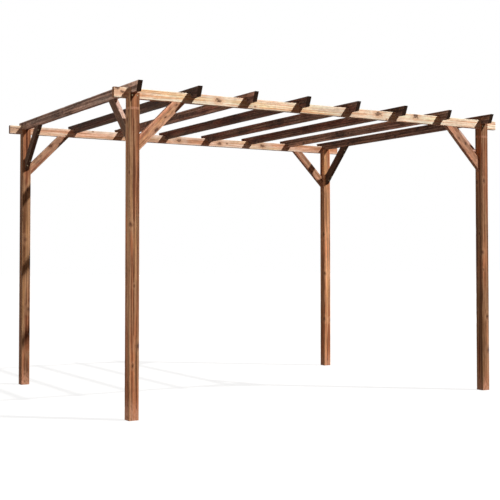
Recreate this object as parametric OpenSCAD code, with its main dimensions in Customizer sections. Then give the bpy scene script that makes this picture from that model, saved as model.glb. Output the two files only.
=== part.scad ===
// Open garden pergola: four posts, two beams, eight rafters and eight corner braces.
// Millimetres. X runs along the beams, Y along the rafters, Z up.
// The origin is on the ground, in the middle of the footprint.

/* [Layout] */
// Distance between the post centre lines, along the beams
bay_length = 3210; // [2200:10:4500]
// Distance between the post centre lines, along the rafters
bay_depth = 2310; // [1600:10:3500]
// Height from the ground to the underside of the beams
headroom = 2195; // [1900:5:2600]

/* [Posts] */
// Side of the square post
post_side = 75; // [60:1:120]
// Radius on the post's long edges
post_arris = 5; // [1:0.5:8]
// Play between the beam and the two cheeks of the post's fork, in all
fork_play = 1; // [0.5:0.1:3]

/* [Beams] */
// Thickness of a beam, front to back
beam_thickness = 35; // [25:1:50]
// Height of a beam's face
beam_height = 72; // [60:1:140]
// Length of a beam past the centre line of its last post
beam_overhang = 145; // [60:5:400]
// Radius on a beam's long edges
beam_arris = 3; // [1:0.5:6]

/* [Rafters] */
// Thickness of a rafter
rafter_thickness = 35; // [25:1:50]
// Height of a rafter's face
rafter_height = 72; // [60:1:140]
// Length of a rafter past the centre line of its beam, measured along its top
rafter_overhang = 130; // [80:5:400]
// How far a rafter's end is cut back at its underside
rafter_end_slant = 30; // [0:1:60]
// Depth of the notch that drops a rafter over a beam
notch_depth = 32; // [10:1:40]
// Play between a notch and the beam in it, in all
notch_play = 1; // [0.5:0.1:3]
// Radius on a rafter's long edges
rafter_arris = 3; // [1:0.5:6]

/* [Braces] */
// Thickness of a brace
brace_thickness = 35; // [25:1:50]
// Width of a brace, square to its length
brace_width = 72; // [40:1:100]
// Reach of a brace along the beam or the rafter, from the face of the post
brace_reach = 360; // [250:5:600]
// Drop of a brace down the face of the post
brace_drop = 360; // [250:5:600]
// Radius on a brace's long edges
brace_arris = 3; // [1:0.5:6]

/* [Hidden] */
rafter_count = 8;

// The beams lie in the forks, and the rafters on the fork tips and over the beams
beam_top = headroom + beam_height;
rafter_underside = beam_top - notch_depth;
post_height = rafter_underside;
fork_depth = post_height - headroom;
fork_width = beam_thickness + fork_play;

beam_length = bay_length + 2 * beam_overhang;
rafter_length = bay_depth + 2 * rafter_overhang;
rafter_spacing = bay_length / (rafter_count - 1);
notch_width = beam_thickness + notch_play;

// Length of a brace's long edge, and its slope from level
brace_edge = sqrt(brace_reach * brace_reach + brace_drop * brace_drop);
brace_slope = atan2(brace_drop, brace_reach);

// Overrun of every cut past the face that it opens
overrun = 5;

post_colour = [0.60, 0.39, 0.27];
beam_colour = [0.90, 0.74, 0.57];
rafter_colour = [0.42, 0.29, 0.23];
brace_colour = [0.71, 0.51, 0.38];

$fn = 48;

// Section of a planed timber with eased edges, standing on the X axis
module planed_section(width, height, arris) {
    translate([0, height / 2]) {
        square([width - 2 * arris, height], center = true);
        square([width, height - 2 * arris], center = true);
        for (x = [-1, 1], y = [-1, 1])
            translate([x * (width / 2 - arris), y * (height / 2 - arris)])
                circle(r = arris);
    }
}

// Planed bar along X from the origin, its underside at zero height
module planed_bar(length, width, height, arris) {
    rotate([90, 0, 90])
        linear_extrude(length)
            planed_section(width, height, arris);
}

// Post with an open fork at its top, which the beam lies in
module post(x_side, y_side) {
    color(post_colour)
        translate([x_side * bay_length / 2, y_side * bay_depth / 2, 0])
            difference() {
                linear_extrude(post_height)
                    translate([0, -post_side / 2])
                        planed_section(post_side, post_side, post_arris);
                translate([-post_side / 2 - overrun, -fork_width / 2, headroom])
                    cube([post_side + 2 * overrun, fork_width, fork_depth + overrun]);
            }
}

// Beam, sawn square at both ends
module beam(y_side) {
    color(beam_colour)
        translate([-beam_length / 2, y_side * bay_depth / 2, headroom])
            planed_bar(beam_length, beam_thickness, beam_height, beam_arris);
}

// Side view of a rafter: slanted ends, and a notch over each beam
module rafter_outline() {
    half_top = rafter_length / 2;
    half_bottom = half_top - rafter_end_slant;
    difference() {
        polygon([
            [-half_bottom, 0], [half_bottom, 0],
            [half_top, rafter_height], [-half_top, rafter_height]
        ]);
        for (y_side = [-1, 1])
            translate([y_side * bay_depth / 2 - notch_width / 2, -overrun])
                square([notch_width, notch_depth + overrun]);
    }
}

// Rafter, counted from the left, lying over both beams
module rafter(number) {
    color(rafter_colour)
        translate([(number - 1) * rafter_spacing - bay_length / 2, 0, rafter_underside])
            intersection() {
                rotate([90, 0, 90])
                    linear_extrude(rafter_thickness, center = true)
                        rafter_outline();
                rotate([0, 0, 90])
                    translate([-rafter_length / 2 - overrun, 0, 0])
                        planed_bar(rafter_length + 2 * overrun, rafter_thickness, rafter_height, rafter_arris);
            }
}

// Side view of a brace in the corner below a level timber, mitred to it and to the post
module brace_outline() {
    foot = brace_width / cos(brace_slope);
    head = brace_width / sin(brace_slope);
    polygon([
        [0, -brace_drop], [brace_reach, 0],
        [brace_reach - head, 0], [0, foot - brace_drop]
    ]);
}

// Brace that leaves the face of the post along +X, its head at zero height
module brace() {
    color(brace_colour)
        intersection() {
            rotate([90, 0, 0])
                linear_extrude(brace_thickness, center = true)
                    brace_outline();
            translate([0, 0, -brace_drop])
                rotate([0, -brace_slope, 0])
                    translate([-overrun, 0, 0])
                        planed_bar(brace_edge + 2 * overrun, brace_thickness, brace_width, brace_arris);
        }
}

// Brace from a post to the beam, pointing to the middle of the bay
module beam_brace(x_side, y_side) {
    inner_face = bay_length / 2 - post_side / 2;
    translate([x_side * inner_face, y_side * bay_depth / 2, headroom])
        rotate([0, 0, x_side < 0 ? 0 : 180])
            brace();
}

// Brace from a post to the end rafter, pointing to the middle of the bay
module rafter_brace(x_side, y_side) {
    inner_face = bay_depth / 2 - post_side / 2;
    translate([x_side * bay_length / 2, y_side * inner_face, rafter_underside])
        rotate([0, 0, -90 * y_side])
            brace();
}

post(-1, -1);  // front_left_post
post(1, -1);  // front_right_post
post(-1, 1);  // back_left_post
post(1, 1);  // back_right_post
beam(-1);  // front_beam
beam(1);  // back_beam
for (number = [1 : rafter_count])
    rafter(number);
beam_brace(-1, -1);  // front_left_beam_brace
beam_brace(1, -1);  // front_right_beam_brace
beam_brace(-1, 1);  // back_left_beam_brace
beam_brace(1, 1);  // back_right_beam_brace
rafter_brace(-1, -1);  // front_left_rafter_brace
rafter_brace(1, -1);  // front_right_rafter_brace
rafter_brace(-1, 1);  // back_left_rafter_brace
rafter_brace(1, 1);  // back_right_rafter_brace
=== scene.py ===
import math
import random

import bmesh
import bpy
from mathutils import Matrix, Vector, noise


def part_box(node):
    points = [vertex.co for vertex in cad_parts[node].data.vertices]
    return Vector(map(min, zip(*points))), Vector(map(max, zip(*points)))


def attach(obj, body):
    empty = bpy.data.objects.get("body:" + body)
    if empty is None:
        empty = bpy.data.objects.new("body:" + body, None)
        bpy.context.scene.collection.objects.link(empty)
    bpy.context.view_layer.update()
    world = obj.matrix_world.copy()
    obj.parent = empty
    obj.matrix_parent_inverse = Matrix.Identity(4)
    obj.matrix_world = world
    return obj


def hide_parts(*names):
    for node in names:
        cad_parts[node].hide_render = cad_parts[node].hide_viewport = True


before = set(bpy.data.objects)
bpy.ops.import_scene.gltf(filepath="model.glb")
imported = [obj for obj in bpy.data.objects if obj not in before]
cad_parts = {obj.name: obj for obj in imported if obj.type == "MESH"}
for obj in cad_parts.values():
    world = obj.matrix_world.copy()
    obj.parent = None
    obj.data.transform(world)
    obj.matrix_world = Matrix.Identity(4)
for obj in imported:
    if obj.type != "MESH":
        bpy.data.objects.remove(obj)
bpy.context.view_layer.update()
scene = bpy.context.scene
print("frame loaded:", len(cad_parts), "timbers")

right = Vector((1, 0, 0))
back = Vector((0, 1, 0))
up = Vector((0, 0, 1))

# A timber's own axes: its length, then its thickness, then its height
lengthAxis, heightAxis = 0, 2
lengthwise = Vector((1, 0, 0))


# Colours are written as they look on screen, 0 to 255
def tint(red, green, blue):
    def linear(value):
        value /= 255
        return value / 12.92 if value <= 0.04045 else ((value + 0.055) / 1.055) ** 2.4
    return (linear(red), linear(green), linear(blue), 1.0)


def toned(colour, factor):
    return tuple(min(1.0, channel * factor) for channel in colour[:3]) + (1.0,)


# Node helpers: a value is either a number, a tuple or another node's output
def put(tree, socket, value):
    if isinstance(value, bpy.types.NodeSocket):
        tree.links.new(value, socket)
    else:
        socket.default_value = value


def calc(tree, operation, *values):
    node = tree.nodes.new("ShaderNodeMath")
    node.operation = operation
    for socket, value in zip(node.inputs, values):
        put(tree, socket, value)
    return node.outputs[0]


def vector(tree, operation, *values):
    node = tree.nodes.new("ShaderNodeVectorMath")
    node.operation = operation
    sockets = [node.inputs[0], node.inputs["Scale"]] if operation == "SCALE" else node.inputs
    for socket, value in zip(sockets, values):
        put(tree, socket, value)
    return node.outputs["Value" if operation in ("LENGTH", "DOT_PRODUCT") else "Vector"]


# A smooth step between two limits, with the value at each
def ramp(tree, value, low, high, outLow=0.0, outHigh=1.0):
    node = tree.nodes.new("ShaderNodeMapRange")
    node.interpolation_type = "SMOOTHSTEP"
    for socket, given in zip(node.inputs, (value, low, high, outLow, outHigh)):
        put(tree, socket, given)
    return node.outputs[0]


cloudMiddle = 0.5  # a cloud's values lie about this one


# Noise, given its changes in a metre along and across the timber, and its detail
def cloud(tree, place, stretch, detail, output="Fac"):
    node = tree.nodes.new("ShaderNodeTexNoise")
    put(tree, node.inputs["Vector"], vector(tree, "MULTIPLY", place, stretch))
    node.inputs["Scale"].default_value = 1.0
    node.inputs["Detail"].default_value = detail
    return node.outputs[output]


def mixColour(tree, factor, first, second, mode="MIX"):
    node = tree.nodes.new("ShaderNodeMix")
    node.data_type = "RGBA"
    node.blend_type = mode
    sockets = (node.inputs[0], node.inputs[6], node.inputs[7])  # the factor and the two colours
    for socket, value in zip(sockets, (factor, first, second)):
        put(tree, socket, value)
    return node.outputs[2]


def newGroup(name, inputs, outputs):
    tree = bpy.data.node_groups.new(name, "ShaderNodeTree")
    for side, sockets in (("INPUT", inputs), ("OUTPUT", outputs)):
        for label, kind in sockets.items():
            tree.interface.new_socket(name=label, in_out=side, socket_type="NodeSocket" + kind)
    return tree, tree.nodes.new("NodeGroupInput").outputs, tree.nodes.new("NodeGroupOutput").inputs


# Distance from a branch that grew out of the trunk, counted in the branch's own radius
knotLook = {
    "oval": (0.62, 1.0, 1.0),  # longer along the grain
    "farOff": 20.0,  # nothing shows of a knot at this distance
    "wobble": ((55, 75, 75), 3), "wobbleSize": 2.2,
}


def makeKnotGroup(look):
    tree, given, made = newGroup(
        "branchKnot",
        {"Place": "Vector", "Wobble": "Float", "Root": "Vector", "Branch": "Vector", "Radius": "Float"},
        {"Near": "Float"},
    )
    fromRoot = vector(tree, "SUBTRACT", given["Place"], given["Root"])
    along = vector(tree, "DOT_PRODUCT", fromRoot, given["Branch"])
    across = vector(tree, "SUBTRACT", fromRoot, vector(tree, "SCALE", given["Branch"], along))
    aside = vector(tree, "LENGTH", vector(tree, "MULTIPLY", across, look["oval"]))
    near = calc(tree, "ADD", calc(tree, "DIVIDE", aside, given["Radius"]), given["Wobble"])
    behind = calc(tree, "MULTIPLY", calc(tree, "LESS_THAN", along, 0.0), look["farOff"])
    put(tree, made["Near"], calc(tree, "ADD", near, behind))
    return tree


# Sawn pine: growth rings round a pith, fibres, streaks, stains, hair checks, knots and a bleached foot
pineLook = {
    "wander": ((1.5, 9, 9), 2), "ringWander": 0.018, "ringTaper": (0.012, 1.0, 1.0), "ringWidth": 0.0046,
    "lateWoodPower": 2.4, "lateWoodEnd": (1.0, 0.93), "lateWoodDark": 0.5, "knotPull": (0.4, 3.2, 0.008, 0.0),
    "fibre": ((7, 560, 560), 4), "fibreShade": (0.3, 0.7, 0.84, 1.15),
    "streak": ((1.1, 85, 85), 6), "streakDark": (0.38, 0.62, -0.64, 0.2),
    "band": ((0.9, 44, 44), 1), "bandDark": (0.36, 0.64, -0.12, 0.3), "middleDark": 0.5,
    "blotch": ((3.2, 10, 10), 4), "stainShade": (0.3, 0.7, -0.24, 0.2),
    "mottle": ((34, 80, 80), 3), "mottleShade": (0.32, 0.68, -0.16, 0.14),
    "hue": ((1.6, 21, 21), 2), "hueShift": (3.1, 7.7, 1.3), "blushed": (0.42, 0.62), "honeyed": (0.46, 0.3),
    "honey": tint(255, 247, 226),
    "hair": ((1.1, 120, 120), 1), "hairWidth": (0.012, 0.003), "hairPlaces": (0.5, 0.62), "hairShare": 0.7,
    "hairShadeColour": tint(48, 30, 22),
    "bleachPatches": (0.36, 0.6, 0.25, 1.0),
    "scuff": ((150, 24, 24), 2), "scuffEdge": (0.66, 0.72), "scuffShare": (0.0, 1.0, 0.12, 0.6),
    "wear": ((6, 60, 60), 3), "wearWidth": (0.011, 0.003), "wearShare": (0.36, 0.62, 0.1, 0.8),
    "knotSwirl": (5.0, 3.0, 0.0, 0.3), "knotHalo": (2.8, 1.0, 0.0, 0.6), "knotHeart": (1.25, 0.5, 0.0, 0.9),
    "heartPatches": (0.3, 0.6, 0.7, 1.0),
    "endShade": (0.0, 0.8, 1.2, 0.7),
    "streakRough": (0.3, 0.7, 0.84, 0.7), "fibreRough": 0.1, "knotGloss": (1.2, 0.6, 0.0, 0.18),
    "fibreRelief": 0.5, "lateWoodRelief": 0.35, "knotRelief": (1.3, 0.8, 0.0, 0.5), "hairRelief": 1.6,
}


def makePineGroup(look):
    tree, given, made = newGroup(
        "sawnPine",
        {"Place": "Vector", "Pith": "Vector", "HalfSize": "Vector", "Knot": "Float", "EndGrain": "Float",
         "Foot": "Float", "Streak": "Float", "Mottle": "Float", "Stain": "Float",
         "Pale": "Color", "Dark": "Color", "Blush": "Color",
         "KnotColour": "Color", "EndColour": "Color", "FootColour": "Color"},
        {"Colour": "Color", "Roughness": "Float", "Height": "Float"},
    )
    place, knot = given["Place"], given["Knot"]

    # rings that wander along the timber and bend round the knots
    wander = vector(tree, "SUBTRACT", cloud(tree, place, *look["wander"], "Color"), (cloudMiddle,) * 3)
    fromPith = vector(tree, "SUBTRACT", place, given["Pith"])
    ringPlace = vector(tree, "ADD", fromPith, vector(tree, "SCALE", wander, look["ringWander"]))
    radius = vector(tree, "LENGTH", vector(tree, "MULTIPLY", ringPlace, look["ringTaper"]))
    pulled = calc(tree, "ADD", radius, ramp(tree, knot, *look["knotPull"]))
    ring = calc(tree, "FRACT", calc(tree, "DIVIDE", pulled, look["ringWidth"]))
    lateWood = calc(tree, "POWER", ring, look["lateWoodPower"])
    lateWood = calc(tree, "MULTIPLY", lateWood, ramp(tree, ring, *look["lateWoodEnd"]))

    fibre = cloud(tree, place, *look["fibre"])
    streak = cloud(tree, place, *look["streak"])
    band = cloud(tree, place, *look["band"])
    blotch = cloud(tree, place, *look["blotch"])
    mottle = cloud(tree, place, *look["mottle"])
    hue = cloud(tree, vector(tree, "ADD", place, look["hueShift"]), *look["hue"])

    # hair checks open along the grain in some places only, painted dark as the shade inside the cracks
    hair = calc(tree, "ABSOLUTE", calc(tree, "SUBTRACT", cloud(tree, place, *look["hair"]), cloudMiddle))
    check = ramp(tree, hair, *look["hairWidth"])
    check = calc(tree, "MULTIPLY", check, ramp(tree, blotch, *look["hairPlaces"]))

    # grain between the pale and the dark colour, with two hues, stains and fibres over it
    grain = calc(tree, "MULTIPLY", lateWood, look["lateWoodDark"])
    grain = calc(tree, "ADD", grain, ramp(tree, streak, *look["streakDark"]))
    grain = calc(tree, "ADD", grain, ramp(tree, band, *look["bandDark"]))
    darkness = calc(tree, "MULTIPLY_ADD", grain, given["Streak"], look["middleDark"])
    colour = mixColour(tree, darkness, given["Pale"], given["Dark"])
    colour = mixColour(tree, ramp(tree, hue, *look["blushed"]), colour, given["Blush"], "MULTIPLY")
    colour = mixColour(tree, ramp(tree, hue, *look["honeyed"]), colour, look["honey"], "MULTIPLY")
    stained = calc(tree, "MULTIPLY", ramp(tree, blotch, *look["stainShade"]), given["Stain"])
    mottled = calc(tree, "MULTIPLY", ramp(tree, mottle, *look["mottleShade"]), given["Mottle"])
    shade = calc(tree, "ADD", calc(tree, "ADD", stained, mottled), ramp(tree, fibre, *look["fibreShade"]))
    colour = vector(tree, "SCALE", colour, shade)

    # a bleached foot, and pale scuffs across the grain, most of them there
    bleached = calc(tree, "MULTIPLY", given["Foot"], ramp(tree, mottle, *look["bleachPatches"]))
    colour = mixColour(tree, bleached, colour, given["FootColour"])
    scuff = ramp(tree, cloud(tree, place, *look["scuff"]), *look["scuffEdge"])
    scuff = calc(tree, "MULTIPLY", scuff, ramp(tree, given["Foot"], *look["scuffShare"]))
    colour = mixColour(tree, scuff, colour, given["FootColour"])

    # worn pale edges
    inset = vector(tree, "SUBTRACT", given["HalfSize"], vector(tree, "ABSOLUTE", place))
    parts = tree.nodes.new("ShaderNodeSeparateXYZ")
    put(tree, parts.inputs[0], inset)
    edge = ramp(tree, calc(tree, "MAXIMUM", parts.outputs["Y"], parts.outputs["Z"]), *look["wearWidth"])
    worn = calc(tree, "MULTIPLY", edge, ramp(tree, cloud(tree, place, *look["wear"]), *look["wearShare"]))
    colour = mixColour(tree, worn, colour, given["Pale"])

    # knots have a pale swirl, a brown halo and a dark heart
    colour = mixColour(tree, ramp(tree, knot, *look["knotSwirl"]), colour, given["Pale"])
    colour = mixColour(tree, ramp(tree, knot, *look["knotHalo"]), colour, given["Dark"])
    heart = ramp(tree, knot, *look["knotHeart"])
    heart = calc(tree, "MULTIPLY", heart, ramp(tree, mottle, *look["heartPatches"]))
    colour = mixColour(tree, heart, colour, given["KnotColour"])
    # painted shade inside the hair checks
    colour = mixColour(tree, calc(tree, "MULTIPLY", check, look["hairShare"]), colour, look["hairShadeColour"])

    endColour = vector(tree, "SCALE", given["EndColour"], ramp(tree, lateWood, *look["endShade"]))
    put(tree, made["Colour"], mixColour(tree, given["EndGrain"], colour, endColour))

    rough = calc(tree, "MULTIPLY", fibre, look["fibreRough"])
    rough = calc(tree, "ADD", ramp(tree, streak, *look["streakRough"]), rough)
    put(tree, made["Roughness"], calc(tree, "SUBTRACT", rough, ramp(tree, knot, *look["knotGloss"])))

    relief = calc(tree, "MULTIPLY", fibre, look["fibreRelief"])
    relief = calc(tree, "ADD", relief, calc(tree, "MULTIPLY", lateWood, look["lateWoodRelief"]))
    relief = calc(tree, "ADD", relief, ramp(tree, knot, *look["knotRelief"]))
    relief = calc(tree, "SUBTRACT", relief, calc(tree, "MULTIPLY", check, look["hairRelief"]))
    put(tree, made["Height"], relief)
    return tree


knotGroup = makeKnotGroup(knotLook)
pineGroup = makePineGroup(pineLook)

# Finish of one timber, with the pattern turned and centred on it
finishLook = {
    "patternShift": (5, 60),  # metres along the pattern, so that no two timbers are alike
    "endFacing": (0.6, 0.85), "edgeFacing": (0.8, 0.95),
    "splash": ((5, 40, 40), 3), "splashShares": (1.5, 0.5),
    "paleLine": (0.012, 0.005, 0.0, 0.75),
    "bumpStrength": 0.55, "bumpDepth": 0.0007, "specular": 0.16,
}


def nearestKnot(tree, knots, place, shifted):
    wobble = calc(tree, "SUBTRACT", cloud(tree, shifted, *knotLook["wobble"]), cloudMiddle)
    wobble = calc(tree, "MULTIPLY", wobble, knotLook["wobbleSize"])
    near = knotLook["farOff"]
    for knot in knots:
        node = tree.nodes.new("ShaderNodeGroup")
        node.node_tree = knotGroup
        tree.links.new(place, node.inputs["Place"])
        tree.links.new(wobble, node.inputs["Wobble"])
        node.inputs["Root"].default_value = knot["root"]
        node.inputs["Branch"].default_value = knot["branch"]
        node.inputs["Radius"].default_value = knot["radius"]
        near = calc(tree, "MINIMUM", node.outputs["Near"], near)
    return near


# How squarely a face looks along one of the timber's own axes
def facing(tree, timber, axis, limits):
    normal = tree.nodes.new("ShaderNodeNewGeometry").outputs["True Normal"]
    along = vector(tree, "DOT_PRODUCT", normal, timber["place"].col[axis].to_3d())
    return ramp(tree, calc(tree, "ABSOLUTE", along), *limits)


# Pale places on a post: the height that rain splashes up to, and a pale line across the post some way below
# the beam
def palePlaces(tree, timber, look, place, shifted):
    pale = 0.0
    if look["footHeight"]:
        ragged = cloud(tree, shifted, *finishLook["splash"], "Color")
        ragged = vector(tree, "ADD", place, vector(tree, "SCALE", ragged, look["footHeight"]))
        height = vector(tree, "DOT_PRODUCT", ragged, lengthwise)
        top, bottom = (look["footHeight"] * share - timber["half"].x for share in finishLook["splashShares"])
        pale = ramp(tree, height, top, bottom)
    if look["paleLineDrop"]:
        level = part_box("front_beam")[0].z - look["paleLineDrop"] - timber["place"].translation.z
        height = vector(tree, "DOT_PRODUCT", place, lengthwise)
        aside = calc(tree, "ABSOLUTE", calc(tree, "SUBTRACT", height, level))
        pale = calc(tree, "MAXIMUM", pale, ramp(tree, aside, *finishLook["paleLine"]))
    return pale


def makeTimberMaterial(name, timber, look, draw):
    material = bpy.data.materials.new(name)
    material.use_nodes = True
    tree = material.node_tree
    shader = tree.nodes["Principled BSDF"]

    coordinates = tree.nodes.new("ShaderNodeTexCoord")
    mapping = tree.nodes.new("ShaderNodeMapping")
    mapping.vector_type = "TEXTURE"
    mapping.inputs["Location"].default_value = timber["place"].to_translation()
    mapping.inputs["Rotation"].default_value = timber["place"].to_euler()
    tree.links.new(coordinates.outputs["Object"], mapping.inputs["Vector"])
    place = mapping.outputs["Vector"]
    shift = draw.uniform(*finishLook["patternShift"])
    shifted = vector(tree, "ADD", place, (shift, 0.0, 0.0))

    # the narrow edges keep a pale colour beside the broad faces, whose low tone is painted shade
    pale, dark = (toned(look[shade], timber["tone"]) for shade in ("pale", "dark"))
    if look["paleEdges"]:
        paleEdges = facing(tree, timber, heightAxis, finishLook["edgeFacing"])
        pale = mixColour(tree, paleEdges, pale, look["paleEdges"]["pale"])
        dark = mixColour(tree, paleEdges, dark, look["paleEdges"]["dark"])

    pine = tree.nodes.new("ShaderNodeGroup")
    pine.node_tree = pineGroup
    values = {
        "Place": shifted,
        "Pith": Vector((shift, draw.uniform(*look["pithAside"]), draw.uniform(*look["pithAbove"]))),
        "HalfSize": timber["half"],
        "Knot": nearestKnot(tree, timber["knots"], place, shifted),
        "EndGrain": facing(tree, timber, lengthAxis, finishLook["endFacing"]),
        "Foot": palePlaces(tree, timber, look, place, shifted),
        "Streak": look["streak"],
        "Mottle": look["mottle"],
        "Stain": look["stain"],
        "Pale": pale,
        "Dark": dark,
        "Blush": look["blush"],
        "KnotColour": look["knot"],
        "EndColour": look["end"],
        "FootColour": look["foot"],
    }
    for label, value in values.items():
        put(tree, pine.inputs[label], value)

    bump = tree.nodes.new("ShaderNodeBump")
    bump.inputs["Strength"].default_value = finishLook["bumpStrength"]
    bump.inputs["Distance"].default_value = finishLook["bumpDepth"]
    tree.links.new(pine.outputs["Height"], bump.inputs["Height"])
    tree.links.new(bump.outputs["Normal"], shader.inputs["Normal"])
    tree.links.new(pine.outputs["Colour"], shader.inputs["Base Color"])
    tree.links.new(pine.outputs["Roughness"], shader.inputs["Roughness"])
    shader.inputs["Specular IOR Level"].default_value = finishLook["specular"]
    return material


# Fine limits of the mesh work
meshLimits = {
    "mergeDistance": 0.00002, "cutDistance": 0.00001,
    "flatAngle": math.radians(1), "sharpAngle": math.radians(28),
}


# The way a timber lies, from the directions of its length and its thickness
def turned(along, thick):
    along = along.normalized()
    thick = thick.normalized()
    return Matrix((along, thick, along.cross(thick))).transposed().to_4x4()


# A merged copy of a packed timber, laid along its own axes with its middle at zero
def copyTimber(node, turn):
    mesh = bmesh.new()
    mesh.from_mesh(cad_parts[node].data)
    bmesh.ops.remove_doubles(mesh, verts=mesh.verts, dist=meshLimits["mergeDistance"])
    bmesh.ops.dissolve_limit(mesh, angle_limit=meshLimits["flatAngle"], verts=mesh.verts, edges=mesh.edges)
    mesh.transform(turn.inverted())
    low = Vector([min(vert.co[axis] for vert in mesh.verts) for axis in range(3)])
    high = Vector([max(vert.co[axis] for vert in mesh.verts) for axis in range(3)])
    middle = (low + high) / 2
    bmesh.ops.translate(mesh, verts=mesh.verts, vec=-middle)
    return mesh, {"place": turn @ Matrix.Translation(middle), "half": (high - low) / 2}


# Cuts across a timber, so that its faces can bow and wear
def sliceTimber(mesh, half, steps):
    for axis, step in enumerate(steps):
        count = max(1, round(2 * half[axis] / step))
        across = Vector([float(axis == other) for other in range(3)])
        for number in range(1, count):
            bmesh.ops.bisect_plane(
                mesh, geom=mesh.verts[:] + mesh.edges[:] + mesh.faces[:], dist=meshLimits["cutDistance"],
                plane_co=across * half[axis] * (2 * number / count - 1), plane_no=across)


# A drying check: a narrow wandering groove along one face, closed at both ends or open at the timber's end
checkLook = {
    "gape": (0.0006, 0.0013), "depth": (0.003, 0.006), "fullness": 0.6, "wander": 0.0016, "bends": 9.0,
    "asideShares": (-0.45, 0.45), "startShares": (-0.9, 0.3), "lengthShares": (0.12, 0.4),
    "reach": 0.012, "facing": 0.98, "slack": 1.01, "pathSteps": (7.0, 90.0),
}


def openCheck(mesh, check, look):
    outward = Vector((0, *check["face"]))
    sideways = lengthwise.cross(outward)
    low, high = sorted((check["start"], check["end"]))

    def strip():
        return [face for face in mesh.faces
                if face.normal.dot(outward) > look["facing"]
                and abs(face.calc_center_median().dot(sideways) - check["aside"]) < look["reach"]
                and low < face.calc_center_median().x < high]

    for shift in (-check["gape"], 0.0, check["gape"]):
        faces = strip()
        edges = dict.fromkeys(edge for face in faces for edge in face.edges)
        verts = dict.fromkeys(vert for face in faces for vert in face.verts)
        bmesh.ops.bisect_plane(
            mesh, geom=[*verts, *edges, *faces], dist=meshLimits["cutDistance"],
            plane_co=sideways * (check["aside"] + shift), plane_no=sideways)

    startStep, asideStep = look["pathSteps"]
    path = check["start"] * startStep + check["aside"] * asideStep  # another one for each check
    onFace = dict.fromkeys(vert for face in strip() for vert in face.verts)
    for vert in onFace:
        offset = vert.co.dot(sideways) - check["aside"]
        share = (vert.co.x - check["start"]) / (check["end"] - check["start"])
        if abs(offset) >= check["gape"] * look["slack"] or not 0.0 < share < look["slack"]:
            continue
        opening = share if check["atEnd"] else max(0.0, math.sin(math.pi * share))
        opening = opening ** look["fullness"]
        wander = noise.noise(Vector((vert.co.x * look["bends"], path, 0.0))) * look["wander"]
        vert.co += sideways * (wander - offset * (1.0 - opening))
        if abs(offset) < check["gape"] / 2:
            vert.co -= outward * check["depth"] * opening


# Checks at drawn places, the last ones open at an end
def openChecks(mesh, half, look, draw):
    for number in range(look["checks"] + look["endChecks"]):
        atEnd = number >= look["checks"]
        face = draw.choice(look["checkFaces"])
        aside = draw.uniform(*checkLook["asideShares"]) * (half.z if face[0] else half.y)
        start = draw.uniform(*checkLook["startShares"]) * half.x
        end = start + draw.uniform(*checkLook["lengthShares"]) * half.x
        if atEnd:
            end = half.x * draw.choice((-1, 1))
            start = end * (1.0 - draw.uniform(*look["endCheckLength"]) / half.x)
        check = {
            "face": face, "aside": aside, "start": start, "end": end, "atEnd": atEnd,
            "gape": draw.uniform(*checkLook["gape"]), "depth": draw.uniform(*checkLook["depth"]),
        }
        openCheck(mesh, check, checkLook)


# Knocks along the edges, a slow bow and a hand-sized unevenness
wearLook = {
    "swell": 0.0003, "swellAlong": 2.5, "swellAcross": 22,
    "edge": 0.004, "knock": 0.004, "knockAlong": 16, "knockStart": 0.28,
    "seedScale": 1.7, "knockSteps": (3.1, 5, 9),  # each timber and each of its edges has its own knocks
}


def wearTimber(mesh, half, bow, seed, wear):
    mesh.normal_update()
    timberStep, sideStep, topStep = wear["knockSteps"]
    moves = []
    for vert in mesh.verts:
        along, across, above = vert.co
        inset = Vector([half[axis] - abs(vert.co[axis]) for axis in range(3)])
        swellPlace = Vector((
            along * wear["swellAlong"], across * wear["swellAcross"], above * wear["swellAcross"] + seed))
        push = noise.noise(swellPlace) * wear["swell"]
        if max(inset.y, inset.z) < wear["edge"]:
            edgePlace = (seed * timberStep + (across > 0) * sideStep, (above > 0) * topStep)
            knock = noise.noise(Vector((along * wear["knockAlong"], *edgePlace)))
            push -= max(0.0, knock - wear["knockStart"]) * wear["knock"]
        share = along / half.x
        moves.append((vert, vert.normal * push + Vector((0, *bow)) * (1.0 - share * share)))
    for vert, move in moves:
        vert.co += move


# A finished mesh becomes a piece of the object
def finishPiece(mesh, name, place, node, material):
    mesh.transform(place)
    data = bpy.data.meshes.new(name)
    mesh.to_mesh(data)
    mesh.free()
    data.polygons.foreach_set("use_smooth", [True] * len(data.polygons))
    data.set_sharp_from_angle(angle=meshLimits["sharpAngle"])
    piece = bpy.data.objects.new(name, data)
    scene.collection.objects.link(piece)
    data.materials.append(material)
    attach(piece, "root")
    if node:
        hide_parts(node)


# Branches that left the knots
branchLook = {
    "whorlCounts": (2, 3), "whorlTurn": 0.4, "whorlRise": 0.3, "whorlScatter": 0.02,
    "boardRise": 0.2, "boardTilt": 0.2, "alongShares": (0.2, 0.8), "aboveShare": 0.8, "rootDepth": 3,
}


# In a post the branches grow out from the pith, two or three together at the given heights
def whorlKnots(half, heights, radii, draw, look):
    knots = []
    for height in heights:
        first = draw.uniform(0, 2 * math.pi)
        count = draw.choice(look["whorlCounts"])
        for number in range(count):
            turn = draw.uniform(-look["whorlTurn"], look["whorlTurn"])
            angle = first + 2 * math.pi * number / count + turn
            branch = Vector((look["whorlRise"], math.cos(angle), math.sin(angle))).normalized()
            scatter = draw.uniform(-look["whorlScatter"], look["whorlScatter"])
            root = Vector((height - half.x + scatter, 0, 0))
            knots.append({"root": root, "branch": branch, "radius": draw.uniform(*radii)})
    return knots


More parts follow.
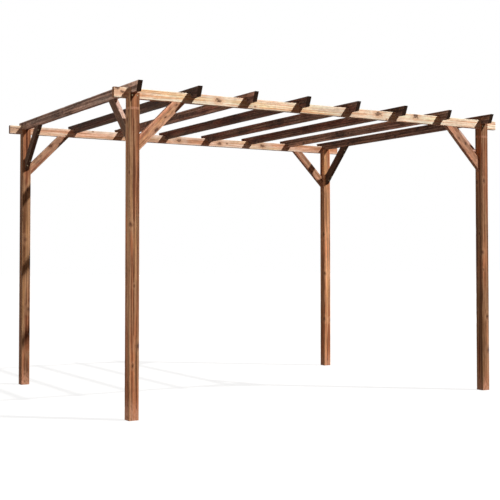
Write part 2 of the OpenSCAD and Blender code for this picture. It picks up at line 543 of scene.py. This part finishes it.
# In a board they go through it, at given places from its middle and at some random ones
def boardKnots(half, given, count, radii, draw, look):
    spots = list(given)
    for number in range(count):
        along = half.x * (2 * (number + draw.uniform(*look["alongShares"])) / count - 1)
        above = half.z * draw.uniform(-look["aboveShare"], look["aboveShare"])
        spots.append((along, above, draw.uniform(*radii)))
    knots = []
    for along, above, radius in spots:
        tilt = draw.uniform(-look["boardTilt"], look["boardTilt"])
        branch = Vector((look["boardRise"], 1, tilt)).normalized()
        root = Vector((along, -half.y, above)) - branch * half.y * look["rootDepth"]
        knots.append({"root": root, "branch": branch, "radius": radius})
    return knots


def buildTimber(node, turn, look, seed, tone, knotPlaces):
    draw = random.Random(seed)
    mesh, timber = copyTimber(node, turn)
    half = timber["half"]
    sliceTimber(mesh, half, look["steps"])
    openChecks(mesh, half, look, draw)
    bow = [draw.uniform(-1, 1) * look["bow"] for side in range(2)]
    wearTimber(mesh, half, bow, seed * wearLook["seedScale"], wearLook)
    if look["boxHeart"]:
        timber["knots"] = whorlKnots(half, knotPlaces, look["knotRadius"], draw, branchLook)
    else:
        timber["knots"] = boardKnots(half, knotPlaces, look["knots"], look["knotRadius"], draw, branchLook)
    timber["tone"] = tone
    material = makeTimberMaterial(node + "_wood", timber, look, draw)
    finishPiece(mesh, node + "_timber", timber["place"], node, material)


# Posts, with the heights of their rings of knots
postLook = {
    "pale": tint(194, 149, 112), "dark": tint(114, 74, 49), "blush": tint(255, 222, 208),
    "knot": tint(84, 50, 34), "end": tint(120, 78, 52), "foot": tint(204, 150, 122),
    "footHeight": 0.16, "paleLineDrop": 0.068, "paleEdges": None,
    "pithAside": (-0.008, 0.008), "pithAbove": (-0.008, 0.008), "boxHeart": True,
    "streak": 1.4, "mottle": 0.6, "stain": 0.75, "knotRadius": (0.004, 0.01),
    "checks": 4, "endChecks": 0, "checkFaces": ((1, 0), (-1, 0), (0, 1), (0, -1)),
    "steps": (0.03, 0.009, 0.009), "bow": 0.001, "seed": 11,
}
postTones = {"front_left": 0.9, "front_right": 0.86, "back_left": 0.8, "back_right": 1.6}
postWhorls = {
    "front_left": (0.37, 0.47, 0.9, 1.3, 1.68, 2.05),
    "front_right": (0.3, 0.62, 1.0, 1.15, 1.32, 1.75),
    "back_left": (0.25, 0.64, 0.95, 1.27, 1.7),
    "back_right": (0.45, 0.93, 1.36, 1.8),
}
for number, corner in enumerate(postTones):
    look = postLook if corner.startswith("front") else dict(postLook, paleLineDrop=0.0)
    buildTimber(corner + "_post", turned(up, right), look, look["seed"] + number,
                postTones[corner], postWhorls[corner])
print("posts made")

# What the boards share: no weathered foot, and checks in the two broad faces
boardLook = {
    "foot": tint(196, 152, 124), "footHeight": 0.0, "paleLineDrop": 0.0, "paleEdges": None,
    "boxHeart": False, "checkFaces": ((1, 0), (-1, 0)),
}

# Beams, with the knots that show on their faces: along, above the middle, radius
beamLook = {
    **boardLook,
    "pale": tint(253, 231, 210), "dark": tint(212, 163, 126), "blush": tint(255, 232, 222),
    "knot": tint(84, 50, 32), "end": tint(130, 92, 66),
    "pithAside": (-0.05, -0.03), "pithAbove": (-0.03, 0.03),
    "streak": 1.2, "mottle": 0.8, "stain": 0.8, "knots": 2, "knotRadius": (0.004, 0.007),
    "checks": 3, "endChecks": 3, "endCheckLength": (0.05, 0.16),
    "steps": (0.03, 0.009, 0.009), "bow": 0.001, "seed": 31,
}
beamTones = {"front": 1.18, "back": 0.88}
beamKnots = {
    "front": ((-1.73, 0.028, 0.014), (-1.69, 0.006, 0.01), (-0.94, 0.004, 0.016),
              (0.5, 0.009, 0.019), (0.88, 0.017, 0.019)),
    "back": ((-0.105, -0.002, 0.015), (0.34, -0.004, 0.015), (0.83, 0.0, 0.016)),
}
for number, depth in enumerate(beamTones):
    buildTimber(depth + "_beam", turned(right, back), beamLook, beamLook["seed"] + number,
                beamTones[depth], beamKnots[depth])
print("beams made")

# Rafters, from the left
rafterLook = {
    **boardLook,
    "pale": tint(172, 138, 120), "dark": tint(108, 79, 66), "blush": tint(255, 218, 210),
    "greyed": tint(236, 250, 255), "knot": tint(52, 32, 24), "end": tint(58, 39, 28),
    "pithAside": (-0.06, -0.03), "pithAbove": (-0.04, 0.04),
    "streak": 2.2, "mottle": 1.4, "stain": 2.4, "knots": 3, "knotRadius": (0.005, 0.011),
    "checks": 2, "endChecks": 2, "endCheckLength": (0.04, 0.12),
    "steps": (0.03, 0.009, 0.009), "bow": 0.001, "seed": 50,
}
greyedRafters = (1, 7, 8)
rafterTones = (1.52, 0.37, 1.45, 0.52, 1.02, 0.83, 1.9, 1.04)
rafterKnots = {8: ((-0.35, 0.01, 0.014),)}
for number, tone in enumerate(rafterTones, 1):
    look = dict(rafterLook, blush=rafterLook["greyed"]) if number in greyedRafters else rafterLook
    buildTimber(f"rafter_{number}", turned(back, -right), look, look["seed"] + number,
                tone, rafterKnots.get(number, ()))
print("rafters made")

# Braces
braceLook = {
    **boardLook,
    "pale": tint(206, 162, 132), "dark": tint(144, 102, 77), "blush": tint(255, 234, 228),
    "knot": tint(80, 48, 34), "end": tint(110, 74, 52),
    "pithAside": (-0.06, -0.03), "pithAbove": (-0.04, 0.04),
    "streak": 0.9, "mottle": 1.5, "stain": 1.3, "knots": 1, "knotRadius": (0.004, 0.008),
    "checks": 1, "endChecks": 0,
    "steps": (0.02, 0.009, 0.009), "bow": 0.0005, "seed": 70,
}
# The rafter braces' low tones are painted shade, for the deep shade where they sit between post, beam and
# rafter
braceTones = {
    "front_left_beam": 1.33, "front_right_beam": 1.07, "back_left_beam": 0.8, "back_right_beam": 1.0,
    "front_left_rafter": 0.32, "front_right_rafter": 0.36, "back_left_rafter": 0.28, "back_right_rafter": 0.2,
}
braceKnots = {
    "front_left_beam": ((-0.05, -0.02, 0.01), (0.19, 0.0, 0.008)),
    "front_right_beam": ((0.01, 0.01, 0.009), (0.09, -0.01, 0.009)),
    "back_left_beam": ((0.07, 0.024, 0.012),),
    "back_right_beam": ((-0.06, -0.036, 0.011),),
}
# These braces' narrow edges keep a paler colour than their broad faces, which carry painted shade
paleEdgeBraces = ("front_left_rafter", "front_right_rafter")
paleEdgeColours = {"pale": tint(174, 148, 136), "dark": tint(140, 114, 102)}


# A brace rises from its post to the middle of the bay
def braceTurn(node):
    low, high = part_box(node)
    size = high - low
    middle = (low + high) / 2
    level = right if size.x > size.y else back
    inward = -1 if middle.dot(level) > 0 else 1
    return turned(level * inward * size.dot(level) + up * size.z, up.cross(level * inward))


for number, (corner, tone) in enumerate(braceTones.items()):
    node = corner + "_brace"
    look = dict(braceLook, paleEdges=paleEdgeColours) if corner in paleEdgeBraces else braceLook
    buildTimber(node, braceTurn(node), look, look["seed"] + number,
                tone, braceKnots.get(corner, ()))
print("braces made")

# Flat screw heads with a six-lobed recess, standing just proud of the wood
screwLook = {
    "headRadius": 0.0046, "rimRadius": 0.0041, "sunk": 0.002, "shoulder": 0.0006, "rise": 0.0014, "sides": 36,
    "recessRadius": 0.0022, "floorRadius": 0.002, "floorRise": 0.0005, "lobes": 6, "lobeDepth": 0.16,
    "steel": tint(176, 164, 132), "grime": tint(96, 82, 62), "grimePattern": ((420, 420, 420), 3),
    "grimeEdge": (0.4, 0.7), "roughness": (0.3, 0.7, 0.34, 0.6),
    "inset": 0.055, "apart": 0.05, "stagger": 0.7,
}


def makeScrewHead(look):
    mesh = bmesh.new()
    bmesh.ops.create_circle(mesh, cap_ends=True, segments=look["sides"], radius=look["headRadius"])
    bmesh.ops.translate(mesh, verts=mesh.verts, vec=(0, 0, -look["sunk"]))
    top = mesh.faces[:][0]
    steps = (
        (look["headRadius"], look["shoulder"], 0.0),
        (look["rimRadius"], look["rise"], 0.0),
        (look["recessRadius"], look["rise"], look["lobeDepth"]),
        (look["floorRadius"], look["floorRise"], look["lobeDepth"]),
    )
    for number, (radius, height, lobe) in enumerate(steps):
        below = top
        made = bmesh.ops.extrude_face_region(mesh, geom=[below])["geom"]
        top = next(item for item in made if isinstance(item, bmesh.types.BMFace))
        if number and below.is_valid:
            bmesh.ops.delete(mesh, geom=[below], context="FACES_ONLY")
        for vert in top.verts:
            angle = math.atan2(vert.co.y, vert.co.x)
            reach = radius * (1 + lobe * math.cos(look["lobes"] * angle))
            vert.co = (reach * math.cos(angle), reach * math.sin(angle), height)
    bmesh.ops.recalc_face_normals(mesh, faces=mesh.faces)
    head = bpy.data.meshes.new("screwHead")
    mesh.to_mesh(head)
    mesh.free()
    return head


def addScrew(mesh, head, spot, outward):
    before = len(mesh.verts)
    mesh.from_mesh(head)
    place = Matrix.Translation(spot) @ outward.to_track_quat("Z", "Y").to_matrix().to_4x4()
    bmesh.ops.transform(mesh, matrix=place, verts=mesh.verts[:][before:])


def makeSteelMaterial(look):
    material = bpy.data.materials.new("zincSteel")
    material.use_nodes = True
    tree = material.node_tree
    shader = tree.nodes["Principled BSDF"]
    coordinates = tree.nodes.new("ShaderNodeTexCoord")
    grime = cloud(tree, coordinates.outputs["Object"], *look["grimePattern"])
    colour = mixColour(tree, ramp(tree, grime, *look["grimeEdge"]), look["steel"], look["grime"])
    put(tree, shader.inputs["Base Color"], colour)
    put(tree, shader.inputs["Roughness"], ramp(tree, grime, *look["roughness"]))
    shader.inputs["Metallic"].default_value = 1.0
    return material


# Two through the long edge at each end of a brace
def braceScrews(look):
    spots = []
    for node in (corner + "_brace" for corner in braceTones):
        turn = braceTurn(node)
        mesh, timber = copyTimber(node, turn)
        mesh.free()
        half, outward = timber["half"], -turn.col[heightAxis].to_3d()
        for end in (-1, 1):
            for step in (0, 1):
                along = end * (half.x - look["inset"] - step * look["apart"])
                local = Vector((along, (step - 0.5) * half.y * look["stagger"], -half.z))
                spots.append((timber["place"] @ local, outward))
    return spots


# Two in the outer fork cheek of a post
def postScrews():
    spots = []
    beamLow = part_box("front_beam")[0]
    for node in (corner + "_post" for corner in postTones):
        low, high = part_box(node)
        outward = back if low.y > 0 else -back
        face = high.y if low.y > 0 else low.y
        for side in (-1, 1):
            x = (low.x + high.x) / 2 + side * (high.x - low.x) / 4
            spots.append((Vector((x, face, (beamLow.z + high.z) / 2)), outward))
    return spots


# One down through a rafter where it crosses a beam
def rafterScrews():
    spots = []
    for number in range(1, len(rafterTones) + 1):
        low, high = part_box(f"rafter_{number}")
        for node in ("front_beam", "back_beam"):
            beamLow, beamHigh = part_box(node)
            spots.append((Vector(((low.x + high.x) / 2, (beamLow.y + beamHigh.y) / 2, high.z)), up))
    return spots


screwHead = makeScrewHead(screwLook)
steelMaterial = makeSteelMaterial(screwLook)
screwSpots = {
    "brace_screws": braceScrews(screwLook), "post_screws": postScrews(), "rafter_screws": rafterScrews(),
}
for name, spots in screwSpots.items():
    mesh = bmesh.new()
    for spot, outward in spots:
        addScrew(mesh, screwHead, spot, outward)
    finishPiece(mesh, name, Matrix.Identity(4), None, steelMaterial)
bpy.data.meshes.remove(screwHead)
print("screws made")

# Floor, light and background
stageLook = {
    "floorGlow": 0.86, "floorWhite": 0.14, "floorBounce": (0.05, 0.02, 0.01), "floorSize": 120.0,
    "skyFill": 0.095, "skyColour": (1.0, 0.58, 0.38),
}


# On where the camera, a reflection or glass looks at the background
def makeBackdropSwitch(tree):
    path = tree.nodes.new("ShaderNodeLightPath")
    seen = calc(tree, "MAXIMUM", path.outputs["Is Camera Ray"], path.outputs["Is Glossy Ray"])
    return calc(tree, "MAXIMUM", seen, path.outputs["Is Transmission Ray"])


# Looked at, the floor is pale and keeps the shadow. It throws only a little warm light back at the object.
def makeFloor(look):
    mesh = bmesh.new()
    bmesh.ops.create_grid(mesh, x_segments=1, y_segments=1, size=look["floorSize"] / 2)
    data = bpy.data.meshes.new("floor")
    mesh.to_mesh(data)
    mesh.free()
    floor = bpy.data.objects.new("floor", data)
    scene.collection.objects.link(floor)
    material = bpy.data.materials.new("paleFloor")
    material.use_nodes = True
    tree = material.node_tree
    tree.nodes.clear()
    glow = tree.nodes.new("ShaderNodeEmission")
    glow.inputs["Strength"].default_value = look["floorGlow"]
    white = tree.nodes.new("ShaderNodeBsdfDiffuse")
    white.inputs["Color"].default_value = (look["floorWhite"],) * 3 + (1.0,)
    seen = tree.nodes.new("ShaderNodeAddShader")
    tree.links.new(glow.outputs[0], seen.inputs[0])
    tree.links.new(white.outputs[0], seen.inputs[1])
    bounce = tree.nodes.new("ShaderNodeBsdfDiffuse")
    bounce.inputs["Color"].default_value = (*look["floorBounce"], 1.0)
    mix = tree.nodes.new("ShaderNodeMixShader")
    put(tree, mix.inputs[0], makeBackdropSwitch(tree))
    tree.links.new(bounce.outputs[0], mix.inputs[1])
    tree.links.new(seen.outputs[0], mix.inputs[2])
    output = tree.nodes.new("ShaderNodeOutputMaterial")
    tree.links.new(mix.outputs[0], output.inputs["Surface"])
    data.materials.append(material)


# White behind the object, and a faint warm fill on it
def makeWorld(look):
    world = bpy.data.worlds.new("studio")
    world.use_nodes = True
    tree = world.node_tree
    background = tree.nodes["Background"]
    seen = makeBackdropSwitch(tree)
    colour = mixColour(tree, seen, (*look["skyColour"], 1.0), (1.0, 1.0, 1.0, 1.0))
    tree.links.new(colour, background.inputs["Color"])
    tree.links.new(ramp(tree, seen, 0.0, 1.0, look["skyFill"], 1.0), background.inputs["Strength"])
    scene.world = world


# A sun-like key from the front right, a soft lamp from behind and a slightly cool panel at the left
lampLook = {
    "keyLamp": {"kind": "SUN", "travel": (-1.0, 0.85, -1.35), "energy": 5.6, "angle": 1.5,
                "place": (0.0, 0.0, 5.0), "colour": (1.0, 0.98, 0.95)},
    "backLamp": {"kind": "SUN", "travel": (-0.3, -1.0, -0.15), "energy": 2.6, "angle": 30.0,
                 "place": (0.0, 0.0, 5.0), "colour": (1.0, 1.0, 1.0)},
    "leftLamp": {"kind": "AREA", "travel": (1.0, -0.2, 0.0), "energy": 61.0, "size": 2.0, "spread": 110.0,
                 "place": (-7.0, -1.4, 1.7), "colour": (0.94, 0.99, 1.0)},
}


def makeLamp(name, look):
    light = bpy.data.lights.new(name, look["kind"])
    light.energy = look["energy"]
    light.color = look["colour"]
    if look["kind"] == "SUN":
        light.angle = math.radians(look["angle"])
    else:
        light.size = look["size"]
        light.spread = math.radians(look["spread"])
    lamp = bpy.data.objects.new(name, light)
    lamp.location = look["place"]
    lamp.rotation_euler = Vector(look["travel"]).to_track_quat("-Z", "Y").to_euler()
    lamp.visible_camera = False
    scene.collection.objects.link(lamp)


makeFloor(stageLook)
makeWorld(stageLook)
for lampName, look in lampLook.items():
    makeLamp(lampName, look)
print("floor and lamps made")

# Camera, fitted to the photograph's frame of 500 by 500 pixels
cameraFit = {
    "place": (-4.448, -7.548, 1.091), "yaw": 0.529, "pitch": 0.030, "sensorWidth": 36.0, "clipEnd": 300.0,
    "focalPixels": 1016.6, "axisPixel": (245.05, 229.15), "framePixels": 500.0,
}


def makeCamera(fit):
    data = bpy.data.cameras.new("photoCamera")
    data.sensor_width = fit["sensorWidth"]
    data.lens = fit["focalPixels"] / fit["framePixels"] * fit["sensorWidth"]
    data.shift_x = 0.5 - fit["axisPixel"][0] / fit["framePixels"]
    data.shift_y = fit["axisPixel"][1] / fit["framePixels"] - 0.5
    data.clip_end = fit["clipEnd"]
    camera = bpy.data.objects.new("photoCamera", data)
    camera.location = fit["place"]
    camera.rotation_euler = (math.pi / 2 + fit["pitch"], 0.0, -fit["yaw"])
    scene.collection.objects.link(camera)
    scene.camera = camera


makeCamera(cameraFit)
scene.view_settings.view_transform = "Standard"
print("camera made")
